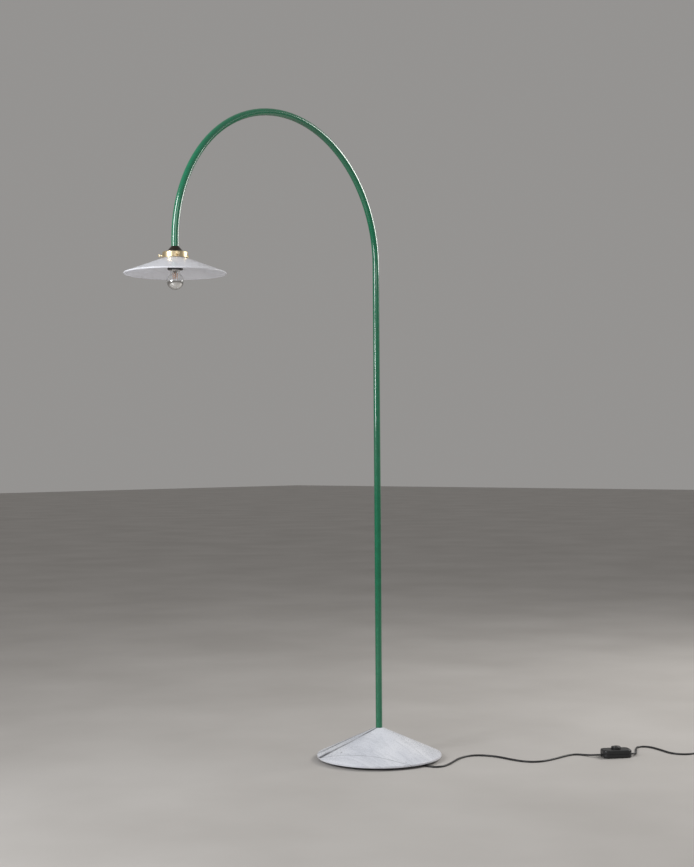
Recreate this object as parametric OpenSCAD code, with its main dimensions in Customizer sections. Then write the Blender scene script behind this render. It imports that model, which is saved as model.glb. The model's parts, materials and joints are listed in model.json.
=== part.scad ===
// Floor lamp: one bent tube on a marble cone base, with a glass shade on a brass gallery,
// an E27 holder with a crown-silvered bulb, and a mains lead with a foot switch.
// Frame: origin on the floor at the base's centre, +Z up along the pole, the arch reaches to -X.

/* [Stem] */
// Outer diameter of the bent tube
tube_d = 20; // [18:0.5:26]
// Wall of the bent tube
tube_wall = 1.5; // [1:0.25:1.75]
// Radius of the arch on the tube's centre line
arch_r = 395; // [240:5:520]
// Height above the floor where the arch begins
arch_z = 1475; // [900:5:1900]
// Straight drop from the arch's end to the holder cap
drop = 18; // [16:1:80]

/* [Base] */
// Diameter of the marble base
base_d = 372; // [300:2:480]
// Gap between the floor and the marble's underside
lift = 8; // [8:0.5:12]
// Height of the upright rim round the marble
rim_h = 5; // [3:0.5:12]
// Height of the cone's top above the floor
cone_z = 93; // [80:1:130]
// Rounding of the marble's edges
marble_round = 2; // [0.5:0.25:2.5]
// Thickness of the felt pad
pad_t = 3; // [2:0.25:4]
// Thickness of the steel weight plate
plate_t = 12; // [11:0.5:16]
// How far the plate stands in from the marble's rim
plate_inset = 22; // [18:1:40]

/* [Swivel] */
// Diameter of the steel spigot
spigot_d = 14; // [12:0.5:15]
// Bore of the spigot, for the lead
spigot_bore = 8; // [7:0.5:8.5]
// Height of the spigot above the cone's top
spigot_rise = 165; // [120:5:260]
// Running clearance of the bushes on the spigot
run_gap = 0.05; // [0.02:0.01:0.1]
// How far the arm turns each way
swivel_deg = 150; // [90:5:155]

/* [Lamp head] */
// Height of the cap over the gallery
cap_h = 15; // [12:0.5:24]
// Diameter of that cap's foot
cap_d = 45; // [36:1:52]
// Diameter of the gallery
gallery_d = 67; // [62:1:90]
// Height of the gallery
gallery_h = 16; // [14:0.5:20]
// Wall of the gallery
gallery_wall = 2; // [1.5:0.25:2.5]
// Diameter of the glass shade
shade_d = 269; // [200:1:340]
// Height of the shade's cone, from the gallery's foot to the rim
shade_drop = 42; // [30:1:90]
// Wall of the glass
glass_wall = 3; // [2.5:0.25:3.5]
// Travel of a gallery screw
screw_travel = 3; // [2:0.25:3.5]

/* [Holder and bulb] */
// Diameter of the lamp holder
holder_d = 41; // [40:0.5:44]
// Length of the holder below the gallery's web
holder_len = 45; // [44:0.5:52]
// Diameter of the bulb's globe
globe_d = 45; // [42:1:60]
// Straight neck between the bulb's globe and its cap
neck_len = 2; // [0.5:0.5:20]
// Height of the mirrored crown above the globe's middle
crown_rise = 3.5; // [0:0.5:8]

/* [Lead and switch] */
// Diameter of the lead
cord_d = 5.6; // [5:0.2:6.2]
// Length of the switch's case
switch_l = 88; // [82:1:104]
// Width of the switch's case
switch_w = 50; // [44:1:60]
// Height of the switch's case, with its feet
switch_h = 24; // [23:0.5:28]
// Diameter of the push button
button_d = 28; // [20:1:32]
// Height of the button above the case
button_rise = 8; // [5:0.5:10]
// Travel of the button
button_travel = 3; // [2:0.25:3.5]

/* [Hidden] */
$fn = 96;

// ---- stem and swivel ----
tube_r = tube_d / 2;
bore_r = tube_r - tube_wall;
thread_gap = 0.05;                       // radial gap of a thread or a push fit that isn't cut
body_gap = 0.3;                          // gap between faces that turn or slide on each other
socket_gap = 0.6;                        // marble round the tube
spigot_gap = 0.3;                        // clearance holes
socket_depth = 12;                       // socket in the top of the marble
flange_h = 4;
thrust_t = 1.5;
socket_z = cone_z - socket_depth;
flange_z = socket_z + flange_h;
tube_z = flange_z + thrust_t + body_gap; // the tube's lower end
spigot_r = spigot_d / 2;
spigot_top = cone_z + spigot_rise;
bush_h = 36;
upper_bush_h = 20;
bush_inset = 2;                          // bush above the tube's lower end
upper_bush_z = spigot_top - 12 - upper_bush_h;
lock_r = 2;                              // swivel screw, and the groove that it runs in
lock_z = tube_z + bush_inset + bush_h / 2;
groove_depth = 1.5;
groove_gap = 0.15;
lock_half_deg = asin((lock_r + groove_gap) / (spigot_r - groove_depth));

// ---- base ----
base_r = base_d / 2;
plate_r = base_r - plate_inset;
plate_gap = 1;
plate_z = pad_t;
plate_top = plate_z + plate_t;
nut_t = 5.5;
washer_t = 1.5;
nut_flat = 22;
pocket_r = 16;
nut_z = plate_z + 0.5;                   // the nut's underside
pocket_top = nut_z + nut_t + washer_t;
cavity_r = 20;                           // hollow of the marble round the lead's bend
plate_screw_r = 2.5;
plate_screw_ring = plate_r - 30;
insert_r = 4.5;
insert_h = 16;
screw_head_r = 5;
screw_sink = 0.5;                        // screw heads stand this far up in the plate's underside
head_h = 3;
hex_r = 2;                               // corner radius of the hexagon socket

// ---- lead through the base ----
cord_r = cord_d / 2;
lead_gap = 1.2;                          // room round the lead in its slots
bend_r = 30;
lead_slope = 5;                          // fall of the lead towards the rim, in degrees
relief_len = 38;
relief_r = 4.6;
relief_tip_r = cord_r + 0.6;
exit_y = -(base_r + 2);
exit_z = relief_tip_r + 0.2;
bend_end_y = -bend_r + bend_r * sin(lead_slope);
lead_run = (bend_end_y - exit_y) / cos(lead_slope);
bend_end_z = exit_z + lead_run * sin(lead_slope);
bend_z = bend_end_z + bend_r * cos(lead_slope);
cavity_z = bend_z + 6;
slot_y = exit_y + (plate_top - cord_r - lead_gap - exit_z) / tan(lead_slope);
groove_top = exit_z + relief_r + 2.8;    // groove under the marble's rim, round the relief
cone_slope = atan((cone_z - lift - rim_h - marble_round) / (base_r - tube_r - socket_gap));
lead_split = spigot_top + 6;             // where the twisting lead is divided between base and arm
clamp_l = 16;                            // clamp on the lead, behind the relief
clamp_w = 13;
clamp_h = 9;
clamp_screw_r = 1;
clamp_screw_x = cord_r + clamp_screw_r + 0.9;
clamp_y = exit_y + (relief_len + clamp_l) * cos(lead_slope) + 1;

// ---- head: heights are measured down from the tube's end ----
head_x = -2 * arch_r;
head_z = arch_z - drop;
insert_len = 14;
nipple_r = 5;
nipple_bore = 3.4;
cap_wall = 1.2;
lock_nut_r = 8;                          // corner radius
lock_nut_t = 3;
web_t = 2;
web_z = head_z - cap_h - web_t;          // underside of the gallery's web
gallery_r = gallery_d / 2;
gallery_z = head_z - cap_h - gallery_h;  // foot of the gallery
gallery_lip = 1;
lip_h = 1.2;
knurls = 16;
knurl_r = 0.45;
screw_z = head_z - cap_h - gallery_h / 2 - 0.5;
screw_r = 1.5;
knob_r = 3.5;
knob_len = 4.5;
knob_stand = 7.5;                        // bare thread between the gallery and the knob
neck_gap = 0.5;
neck_r = gallery_r - gallery_wall - neck_gap;
neck_groove = screw_travel / 2;          // the screws' tips sit in this groove of the neck
neck_top = web_z - 1;
shade_r = shade_d / 2;
shade_z = gallery_z - shade_drop;
shade_bead = 2.2;                        // radius of the bead round the rim

// ---- holder ----
holder_r = holder_d / 2;
holder_z = web_z - holder_len;           // lower edge of the skirt
holder_wall = 2.5;
skirt_h = 18;
insert_top = web_z - 7;
ceramic_h = 13.5;
shell_r = 13.9;
shell_t = 0.5;
shell_pitch = 3.6;
shell_len = 19;
contact_t = 1.2;
terminal_x = 11;
terminal_r = 1.6;

// ---- bulb ----
globe_r = globe_d / 2;
contact_gap = 0.3;
bulb_top = insert_top - ceramic_h - contact_t - contact_gap;
bulb_cap_len = 26;
bulb_cap_r = 13.3;
bulb_cap_z = bulb_top - bulb_cap_len;
bulb_neck_r = 12.4;
neck_fillet = 12;
bulb_wall = 1;
insulator_r = 6;
fillet_rise = sqrt(pow(globe_r + neck_fillet, 2) - pow(bulb_neck_r + neck_fillet, 2));
fillet_angle = atan2(fillet_rise, bulb_neck_r + neck_fillet);
globe_z = bulb_cap_z - neck_len - fillet_rise;
stem_h = 15;                             // glass stem below the bulb's cap
filament_l = 26;
seat = 2.5;                              // how far the glass stands up into the bulb's cap
mirror_t = 0.2;
mirror_gap = 0.1;

// ---- switch: its own frame has +X along the lead and z = 0 on the floor ----
switch_place = [480, -520];
switch_turn = -38;
foot_t = 1.5;
case_wall = 2;
case_corner = 14;
case_split = 12;
case_shoulder = 17;                      // height where the upper case starts to close in
case_step = 3;
entry_z = 8;
button_r = button_d / 2;
button_gap = 0.4;
button_flange = 2.5;
flange_t = 2;
button_foot = switch_h - case_wall - body_gap - flange_t;  // the flange's underside, under the ceiling
spring_r = 5;
spring_wire = 0.5;
spring_turns = 5;
spring_z = foot_t + case_wall;
button_top_t = 4;
spring_h = switch_h + button_rise - button_top_t - spring_z - 2 * spring_wire;
terminal_t = 2.2;
contact_strip = 1;
strip_z = spring_z + terminal_t + 0.2;
plunger_r = 9;
plunger_bore = spring_r + 1.5;
plunger_z = strip_z + contact_strip + button_travel + body_gap;  // clear of the contacts when pressed
case_screw_r = 1.5;

// ---- coil, tie and plug ----
coil_place = [716, -727];
coil_turn_r = 31;                        // middle of the turns
coil_rows = 3;
coil_half = coil_rows * cord_d / 2 + 0.6;
coil_h = 2 * cord_d + 0.6;
tie_w = 8;
tie_t = 0.9;
tie_gap = 0.5;
tie_half = coil_half + tie_gap;
tie_turn = 200;
plug_place = [776, -772];
plug_turn = -90;
plug_l = 36;
plug_w = 34;
plug_h = 14;
plug_relief_l = 24;
pin_r = 2;
pin_l = 19;
pin_space = 18.6;
pin_root = 10;                           // length of a pin inside the plug
pin_root_r = pin_r - 0.3;
pin_neck = 1;                            // the root shows this far outside the plug

// Route of the lead from the base to the switch, on the floor
route_to_switch = [
  [0, exit_y, exit_z], [1, -200, 3], [10, -216, 2.8], [27, -223, 2.8], [48, -221, 2.8],
  [73, -214, 2.8], [109, -201, 2.8], [148, -189, 2.8], [177, -186, 2.8], [203, -191, 2.8],
  [223, -207, 2.8], [235, -231, 2.8], [240, -260, 2.8], [238, -292, 2.8], [235, -324, 2.8],
  [237, -355, 2.8], [248, -382, 2.8], [269, -397, 2.8], [298, -404, 2.8], [330, -406, 2.8],
  [370, -406, 2.8], [402, -408, 2.8], [422, -417, 2.8], [431, -436, 3], [432.5, -455, 4.2],
  [436.3, -474.5, 6.4], switch_end(-1)
];
// Route from the switch to the coil
route_to_coil = [
  switch_end(1), [521.8, -551, 7.4], [529.8, -552.6, 6.6], [537.9, -551.6, 5.6], [545.5, -548.2, 4.6],
  [560.5, -538.9, 3.3], [580, -527, 2.8], [603, -513, 2.8], [624.5, -500.8, 2.8], [636.1, -497, 2.8],
  [647.3, -498.2, 2.8], [656.8, -504.2, 2.8], [662.8, -513.9, 2.8], [664, -526, 2.8],
  [660.5, -541, 2.8], [652, -562, 2.8], [640, -588, 2.8], [629, -612, 2.8], [626, -637, 2.8],
  [633, -656, 2.8], [648, -669, 2.8], [670, -677, 2.8], [697, -684, 2.8], [723, -691, 2.8]
];
// Route from the coil to the plug
route_to_plug = [
  [716, -690, 8.4], [734, -691, 8.2], [750, -695, 6.6], [763, -704, 5.4], [773, -716, 5.8],
  plug_end(6), plug_end(0)
];

// Point where the lead meets the switch's case: side -1 is the base's side, 1 the plug's
function switch_end(side) = [
  switch_place[0] + side * switch_l / 2 * cos(switch_turn),
  switch_place[1] + side * switch_l / 2 * sin(switch_turn),
  entry_z
];
// Point on the plug's axis, d before the lead meets the plug's relief
function plug_end(d) = [
  plug_place[0] - (plug_l / 2 + plug_relief_l + d) * cos(plug_turn),
  plug_place[1] - (plug_l / 2 + plug_relief_l + d) * sin(plug_turn),
  plug_h / 2
];

// ---- helpers ----
// Points of an arc about [x, y], from angle a to angle b in n steps
function arc(x, y, r, a, b, n = 8) = [
  for (i = [0:n]) let (t = a + (b - a) * i / n) [x + r * cos(t), y + r * sin(t)]
];
// A smooth curve through the points p, with k steps between two of them, straight at both its ends
function between(a, b, c, d, t) =
  0.5 * (2 * b + (c - a) * t + (2 * a - 5 * b + 4 * c - d) * t * t + (3 * b - a - 3 * c + d) * t * t * t);
function smooth(p, k) = let (m = len(p) - 1, q = concat([2 * p[0] - p[1]], p, [2 * p[m] - p[m - 1]])) [
  for (i = [0:m - 1], j = [0:k - 1]) between(q[i], q[i + 1], q[i + 2], q[i + 3], j / k),
  p[m]
];
// Ring of n points of radius r about c, square to the direction t, starting on the side of up
function ring(c, t, r, n, up) = let (s = cross(t, up) / norm(cross(t, up)), u = cross(s, t) / norm(t)) [
  for (i = [0:n - 1]) c + r * (cos(360 * i / n + 90) * s + sin(360 * i / n + 90) * u)
];
// Round tube of radius r along the points p, with n sides; the points never run along up
module swept_tube(p, r, n = 8, up = [0, 0, 1]) {
  m = len(p);
  rings = [for (i = [0:m - 1]) each ring(p[i], p[min(i + 1, m - 1)] - p[max(i - 1, 0)], r, n, up)];
  sides = [for (i = [0:m - 2], j = [0:n - 1]) let (k = (j + 1) % n, a = i * n, b = a + n)
    each [[a + j, a + k, b + k], [a + j, b + k, b + j]]];
  caps = [[for (j = [0:n - 1]) n - 1 - j], [for (j = [0:n - 1]) (m - 1) * n + j]];
  polyhedron(points = rings, faces = concat(sides, caps), convexity = 6);
}
// Hollow cylinder from z to z + h
module collar(r_out, r_in, z, h) {
  translate([0, 0, z])
    difference() {
      cylinder(r = r_out, h = h);
      translate([0, 0, -1]) cylinder(r = r_in, h = h + 2);
    }
}
// Moves a child from the head's axis at the origin to its place
module at_head() { translate([head_x, 0, 0]) children(); }
// Moves a child from the switch's own frame to its place
module at_switch() {
  translate([switch_place[0], switch_place[1], 0]) rotate([0, 0, switch_turn]) children();
}
// Moves a child from the plug's own frame, +X towards its pins, to its place
module at_plug() {
  translate([plug_place[0], plug_place[1], plug_h / 2]) rotate([0, 0, plug_turn]) children();
}
// Rectangle l by w with round corners of radius r
module round_plate(l, w, r) {
  polygon(concat(
    arc(l / 2 - r, w / 2 - r, r, 0, 90), arc(r - l / 2, w / 2 - r, r, 90, 180),
    arc(r - l / 2, r - w / 2, r, 180, 270), arc(l / 2 - r, r - w / 2, r, 270, 360)));
}
// Places its children along the lead's slanting run, d before the exit, +Z towards the exit
module on_lead(d) {
  translate([0, exit_y + d * cos(lead_slope), exit_z + d * sin(lead_slope)])
    rotate([90 + lead_slope, 0, 0]) children();
}
// Slot of half-width w between two places on the Y axis and two heights
module lead_slot(y0, y1, z0, z1, w) { translate([-w, y0, z0]) cube([2 * w, y1 - y0, z1 - z0]); }
// Repeats its children at the plate's four screws
module plate_screw_ring() {
  for (a = [45, 135, 225, 315]) rotate([0, 0, a]) translate([plate_screw_ring, 0, 0]) children();
}

// ---- base ----
module marble_base() {
  color("#dfe1e4")
    difference() {
      rotate_extrude()
        polygon(concat(
          [[0, lift]],
          arc(base_r - marble_round, lift + marble_round, marble_round, -90, 0, 4),
          arc(base_r - marble_round, lift + rim_h, marble_round, 0, 90 - cone_slope, 4),
          [[tube_r + socket_gap + marble_round / 2, cone_z], [0, cone_z]]));
      translate([0, 0, lift - 1]) cylinder(r = plate_r + plate_gap, h = plate_top - lift + 1);
      translate([0, 0, lift - 1]) cylinder(r = cavity_r, h = cavity_z - lift + 1);
      translate([0, 0, lift - 1]) cylinder(r = spigot_r + spigot_gap, h = cone_z);
      translate([0, 0, socket_z]) cylinder(r = tube_r + socket_gap, h = socket_depth + 1);
      lead_slot(slot_y, 0, lift - 1, bend_end_z + cord_r + lead_gap, cord_r + lead_gap);
      lead_slot(-base_r + 4, -plate_r + 4, lift - 1, groove_top, relief_r + lead_gap);
      plate_screw_ring() translate([0, 0, lift]) cylinder(r = insert_r, h = plate_top + insert_h - lift);
    }
}
module base_plate() {
  color("#6f7275")
    difference() {
      translate([0, 0, plate_z]) cylinder(r = plate_r, h = plate_t);
      translate([0, 0, plate_z - 1]) cylinder(r = pocket_r, h = pocket_top - plate_z + 1);
      translate([0, 0, plate_z - 1]) cylinder(r = spigot_r + spigot_gap, h = plate_t + 2);
      lead_slot(-plate_r - 1, bend_end_y + cord_r, pocket_top + 1, plate_top + 1, cord_r + lead_gap);
      lead_slot(-plate_r - 1, -pocket_r - 6, plate_z - 1, plate_top + 1, cord_r + lead_gap);
      lead_slot(-plate_r - 1, clamp_y, plate_z - 1, plate_top + 1, clamp_w / 2 + body_gap);
      plate_screw_ring() translate([0, 0, plate_z - 1]) {
        cylinder(r = plate_screw_r + spigot_gap, h = plate_t + 2);
        cylinder(r = screw_head_r + spigot_gap, h = 1 + screw_sink + head_h);
      }
    }
}
module plate_screws() {
  color("#b9bcc0")
    plate_screw_ring()
      difference() {
        union() {
          translate([0, 0, plate_z + screw_sink]) cylinder(r = screw_head_r, h = head_h);
          translate([0, 0, plate_z + screw_sink]) cylinder(r = plate_screw_r, h = plate_t + insert_h - 3);
        }
        translate([0, 0, plate_z - 1]) cylinder(r = hex_r, h = 3, $fn = 6);
      }
}
module marble_inserts() {
  color("#c9a24b")
    plate_screw_ring()
      collar(insert_r - thread_gap, plate_screw_r + thread_gap, plate_top + 0.2, insert_h - 0.4);
}
module floor_pad() {
  color("#2b2b2b")
    difference() {
      cylinder(r = plate_r, h = pad_t);
      lead_slot(-plate_r - 1, clamp_y, -1, pad_t + 1, clamp_w / 2 + body_gap);
    }
}
module pole_spigot() {
  color("#8e9296")
    difference() {
      union() {
        translate([0, 0, nut_z]) cylinder(r = spigot_r, h = spigot_top - nut_z);
        translate([0, 0, socket_z]) cylinder(r = tube_r, h = flange_h);
      }
      translate([0, 0, bend_end_z]) cylinder(d = spigot_bore, h = spigot_top);
      translate([-spigot_bore / 2, -spigot_r - 1, bend_end_z - cord_r - 2])
        cube([spigot_bore, spigot_r + 1, bend_z + 4 - bend_end_z + cord_r]);
      translate([0, 0, lock_z - lock_r - groove_gap])
        rotate_extrude(angle = 2 * (swivel_deg + lock_half_deg), start = -swivel_deg - lock_half_deg)
          translate([spigot_r - groove_depth, 0]) square([groove_depth + 1, 2 * (lock_r + groove_gap)]);
    }
}
module spigot_washer() {
  color("#b9bcc0") collar(pocket_r - 2, spigot_r + spigot_gap, nut_z + nut_t, washer_t);
}
module spigot_nut() {
  color("#b9bcc0")
    difference() {
      translate([0, 0, nut_z]) cylinder(d = nut_flat / cos(30), h = nut_t, $fn = 6);
      translate([0, 0, nut_z - 1]) cylinder(r = spigot_r + thread_gap, h = nut_t + 2);
    }
}
module thrust_washer() {
  color("#e8e4d8") collar(tube_r, spigot_r + 0.1, flange_z, thrust_t);
}
module lead_clamp() {
  color("#1c1c1c")
    on_lead(relief_len + clamp_l / 2)
      difference() {
        translate([-clamp_w / 2, -clamp_h / 2, -clamp_l / 2]) cube([clamp_w, clamp_h, clamp_l]);
        translate([0, 0, -clamp_l]) cylinder(r = cord_r + thread_gap, h = 2 * clamp_l);
        for (s = [-1, 1]) translate([s * clamp_screw_x, clamp_h, 0]) rotate([90, 0, 0])
          cylinder(r = clamp_screw_r + thread_gap, h = 2 * clamp_h);
      }
}
module clamp_screws() {
  color("#b9bcc0")
    on_lead(relief_len + clamp_l / 2)
      for (s = [-1, 1]) translate([s * clamp_screw_x, clamp_h / 2 - 0.5, 0]) rotate([90, 0, 0])
        cylinder(r = clamp_screw_r, h = clamp_h - 1);
}
module base_lead() {
  bend = [for (p = arc(-bend_r, bend_z, bend_r, 0, lead_slope - 90, 10)) [0, p[0], p[1]]];
  color("#151515")
    swept_tube(concat([[0, 0, lead_split - body_gap]], bend, [[0, exit_y, exit_z]]), cord_r, 12, [1, 0, 0]);
}
module base_relief() {
  color("#151515")
    difference() {
      on_lead(relief_len) cylinder(r1 = relief_r, r2 = relief_tip_r, h = relief_len);
      on_lead(relief_len + 1) cylinder(r = cord_r + thread_gap, h = relief_len + 2);
    }
}

// ---- stem ----
// Outline of the bent tube's cross-section, or of its bore
module bent(r, z0, z1) {
  translate([0, 0, z0]) cylinder(r = r, h = arch_z - z0);
  translate([-arch_r, 0, arch_z]) rotate([90, 0, 0])
    rotate_extrude(angle = 180) translate([arch_r, 0]) circle(r = r);
  at_head() translate([0, 0, z1]) cylinder(r = r, h = arch_z - z1);
}
module stem_tube() {
  color("#12734f")
    difference() {
      bent(tube_r, tube_z, head_z);
      bent(bore_r, tube_z - 1, head_z - 1);
      translate([0, 0, lock_z]) rotate([0, 90, 0]) cylinder(r = lock_r + thread_gap, h = tube_r + 1);
    }
}
module lower_bush() {
  color("#c9a24b")
    difference() {
      collar(bore_r, spigot_r + run_gap, tube_z + bush_inset, bush_h);
      translate([0, 0, lock_z]) rotate([0, 90, 0]) cylinder(r = lock_r + thread_gap, h = tube_r + 1);
    }
}
module upper_bush() {
  color("#c9a24b") collar(bore_r, spigot_r + run_gap, upper_bush_z, upper_bush_h);
}
module swivel_screw() {
  color("#3a3a3a")
    translate([spigot_r - groove_depth + body_gap, 0, lock_z]) rotate([0, 90, 0])
      difference() {
        cylinder(r = lock_r, h = tube_r - 0.2 - spigot_r + groove_depth - body_gap);
        translate([0, 0, 2.2]) cylinder(r = lock_r / 2, h = 5, $fn = 6);
      }
}
module stem_lead() { color("#151515") bent(cord_r, lead_split, insert_top + 1); }
module stem_insert() {
  color("#c9a24b") at_head() collar(bore_r, nipple_r + thread_gap, head_z, insert_len);
}

// ---- head ----
module entry_nipple() {
  foot = web_z - web_t - 1;
  color("#b9bcc0") at_head() collar(nipple_r, nipple_bore, foot, head_z + insert_len - 1 - foot);
}
module holder_cap() {
  flare = (cap_d / 2 - tube_r) / 3;
  color("#2a1c14")
    at_head() translate([0, 0, head_z - cap_h])
      rotate_extrude()
        polygon(concat(
          [[nipple_r + thread_gap, cap_h], [tube_r, cap_h], [tube_r + 1, cap_h - 1],
           [tube_r + flare, cap_h * 0.7], [tube_r + 2.4 * flare, cap_h * 0.25],
           [cap_d / 2, cap_h * 0.12], [cap_d / 2, 0]],
          [[cap_d / 2 - cap_wall, 0], [cap_d / 2 - cap_wall, cap_h * 0.08],
           [tube_r + 2.2 * flare - cap_wall, cap_h * 0.2], [tube_r + flare - 1.4 * cap_wall, cap_h * 0.65],
           [tube_r - 1, cap_h - 2 * cap_wall], [nipple_r + thread_gap, cap_h - 2 * cap_wall]]));
}
module lock_nut() {
  color("#b9bcc0")
    at_head() translate([0, 0, web_z + web_t])
      difference() {
        cylinder(r = lock_nut_r, h = lock_nut_t, $fn = 6);
        translate([0, 0, -1]) cylinder(r = nipple_r + thread_gap, h = lock_nut_t + 2);
      }
}
module gallery_ring() {
  edge = 1.5;
  color("#c8a45a")
    at_head()
      difference() {
        rotate_extrude()
          polygon(concat(
            [[nipple_r + thread_gap, web_z], [gallery_r - gallery_wall, web_z],
             [gallery_r - gallery_wall, gallery_z], [gallery_r + gallery_lip, gallery_z],
             [gallery_r + gallery_lip, gallery_z + lip_h], [gallery_r, gallery_z + lip_h + gallery_lip]],
            arc(gallery_r - edge, web_z + web_t - edge, edge, 0, 90, 6),
            [[nipple_r + thread_gap, web_z + web_t]]));
        for (a = [0:120:240]) rotate([0, 0, a]) translate([0, 0, screw_z]) rotate([0, 90, 0])
          cylinder(r = screw_r + thread_gap, h = gallery_r + 5);
      }
}
// Knurled screw on the gallery, at angle a
module gallery_screw(a) {
  tip = neck_r - neck_groove + body_gap;
  color("#c8a45a")
    at_head() rotate([0, 0, a]) translate([0, 0, screw_z]) rotate([0, 90, 0])
      translate([0, 0, tip]) {
        cylinder(r = screw_r, h = gallery_r + knob_stand - tip + 0.5);
        translate([0, 0, gallery_r + knob_stand - tip])
          difference() {
            cylinder(r = knob_r, h = knob_len);
            for (i = [1:knurls]) rotate([0, 0, i * 360 / knurls]) translate([knob_r + knurl_r / 2, 0, -1])
              cylinder(r = knurl_r, h = knob_len + 2);
          }
      }
}
module gallery_screw_1() { gallery_screw(0); }
module gallery_screw_2() { gallery_screw(120); }
module gallery_screw_3() { gallery_screw(240); }
module glass_shade() {
  slope = atan(shade_drop / (shade_r - neck_r));
  groove_z = screw_z + screw_r + body_gap;
  inner = neck_r - glass_wall - neck_groove;
  bead_x = shade_r - shade_bead;
  bead_z = shade_z + shade_bead;
  t = glass_wall / cos(slope);
  color([0.86, 0.88, 0.9, 0.85])
    at_head()
      rotate_extrude()
        polygon(concat(
          [[inner, neck_top], [neck_r, neck_top], [neck_r, groove_z], [neck_r - neck_groove, groove_z],
           [neck_r - neck_groove, gallery_z + 3], [neck_r, gallery_z]],
          arc(bead_x, bead_z, shade_bead, 90 - slope, -90 - slope - 40, 14),
          [[neck_r - 1, gallery_z - t - 1], [inner, gallery_z]]));
}

// ---- holder ----
module holder_body() {
  color("#1d1714")
    at_head()
      rotate_extrude()
        polygon([
          [nipple_r + thread_gap, web_z - 0.1], [holder_r - 2, web_z - 0.1], [holder_r, web_z - 2],
          [holder_r, holder_z + skirt_h], [holder_r - holder_wall, holder_z + skirt_h],
          [holder_r - holder_wall, insert_top + 1], [nipple_r + thread_gap, insert_top + 1]]);
}
module holder_skirt() {
  color("#1d1714")
    at_head()
      rotate_extrude()
        polygon([
          [holder_r - holder_wall, holder_z + skirt_h - 0.1], [holder_r, holder_z + skirt_h - 0.1],
          [holder_r, holder_z + 1], [holder_r - 1, holder_z], [shell_r + shell_t + 0.6, holder_z],
          [shell_r + shell_t + 0.6, holder_z + 3], [holder_r - holder_wall, holder_z + 5]]);
}
module holder_insert() {
  color("#efece4")
    at_head()
      difference() {
        translate([0, 0, insert_top - ceramic_h])
          cylinder(r = holder_r - holder_wall - thread_gap, h = ceramic_h);
        for (s = [-1, 1]) translate([s * terminal_x, 0, insert_top - ceramic_h - 1])
          cylinder(r = terminal_r, h = ceramic_h + 2);
      }
}
module screw_shell() {
  crests = floor(shell_len / shell_pitch);
  wave = [for (i = [0:crests - 1], p = [[0.1, 0], [0.4, 0.45], [0.6, 0.45], [0.9, 0]])
    [shell_r + p[1], holder_z + 2 + (i + p[0]) * shell_pitch]];
  color("#c7b48a")
    at_head()
      rotate_extrude()
        polygon(concat(
          wave, [[shell_r, insert_top - ceramic_h]], [[shell_r + shell_t, insert_top - ceramic_h]],
          [for (i = [len(wave) - 1:-1:0]) wave[i] + [shell_t, 0]]));
}
module centre_contact() {
  color("#c7b48a")
    at_head() translate([0, 0, insert_top - ceramic_h - contact_t]) cylinder(r = 4, h = contact_t);
}
module terminal_screws() {
  color("#c7b48a")
    at_head() for (s = [-1, 1]) translate([s * terminal_x, 0, insert_top - ceramic_h + 1])
      cylinder(r = terminal_r - thread_gap, h = ceramic_h - 2);
}

// ---- bulb ----
module bulb_cap() {
  crests = 5;
  wave = [for (i = [0:crests - 1], p = [[0.1, -0.5], [0.4, 0], [0.6, 0], [0.9, -0.5]])
    [bulb_cap_r + p[1], bulb_cap_z + 4 + (i + p[0]) * shell_pitch]];
  color("#c9c6bd")
    at_head()
      rotate_extrude()
        polygon(concat(
          [[bulb_neck_r + thread_gap, bulb_cap_z], [bulb_cap_r, bulb_cap_z], [bulb_cap_r, bulb_cap_z + 3.5]],
          wave,
          [[bulb_cap_r - 1, bulb_top - 4], [insulator_r, bulb_top - 2.5],
           [insulator_r, bulb_top - 3.2], [bulb_cap_r - 2, bulb_top - 4.8],
           [bulb_cap_r - 2, bulb_cap_z + seat + 0.5], [bulb_neck_r + thread_gap, bulb_cap_z + seat + 0.5]]));
}
module bulb_insulator() {
  color("#101010") at_head() translate([0, 0, bulb_top - 2.5]) cylinder(r1 = insulator_r, r2 = 4.8, h = 1.5);
}
module bulb_contact() {
  color("#c9c6bd") at_head() translate([0, 0, bulb_top - 1]) cylinder(r1 = 4.6, r2 = 3, h = 1);
}
// Outline of the bulb's glass, d inside its outer face, from the neck to the bottom
function bulb_outline(d) = concat(
  [[bulb_neck_r - d, bulb_cap_z + seat]],
  arc(bulb_neck_r + neck_fillet, globe_z + fillet_rise, neck_fillet + d, 180, 180 + fillet_angle, 8),
  arc(0, globe_z, globe_r - d, fillet_angle, -90, 20));
module bulb_glass() {
  inner = bulb_outline(bulb_wall);
  color([0.95, 0.95, 0.93, 0.3])
    at_head()
      rotate_extrude() polygon(concat(bulb_outline(0), [for (i = [len(inner) - 1:-1:0]) inner[i]]));
}
module crown_mirror() {
  outer = globe_r - bulb_wall - mirror_gap;
  top = asin(crown_rise / outer);
  color("#d8dadd")
    at_head()
      rotate_extrude()
        polygon(concat(
          arc(0, globe_z, outer, top, -90, 20), arc(0, globe_z, outer - mirror_t, -90, top, 20)));
}
module bulb_stem() {
  stem_r = bulb_neck_r - bulb_wall - body_gap;
  color([0.95, 0.95, 0.93, 0.4])
    at_head()
      rotate_extrude()
        polygon([
          [0, bulb_cap_z + seat], [stem_r, bulb_cap_z + seat], [stem_r, bulb_cap_z + seat - 1],
          [4.5, bulb_cap_z - 3], [2.6, bulb_cap_z - 9], [2.2, bulb_cap_z - stem_h],
          [0, bulb_cap_z - stem_h - 0.5]]);
}
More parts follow.
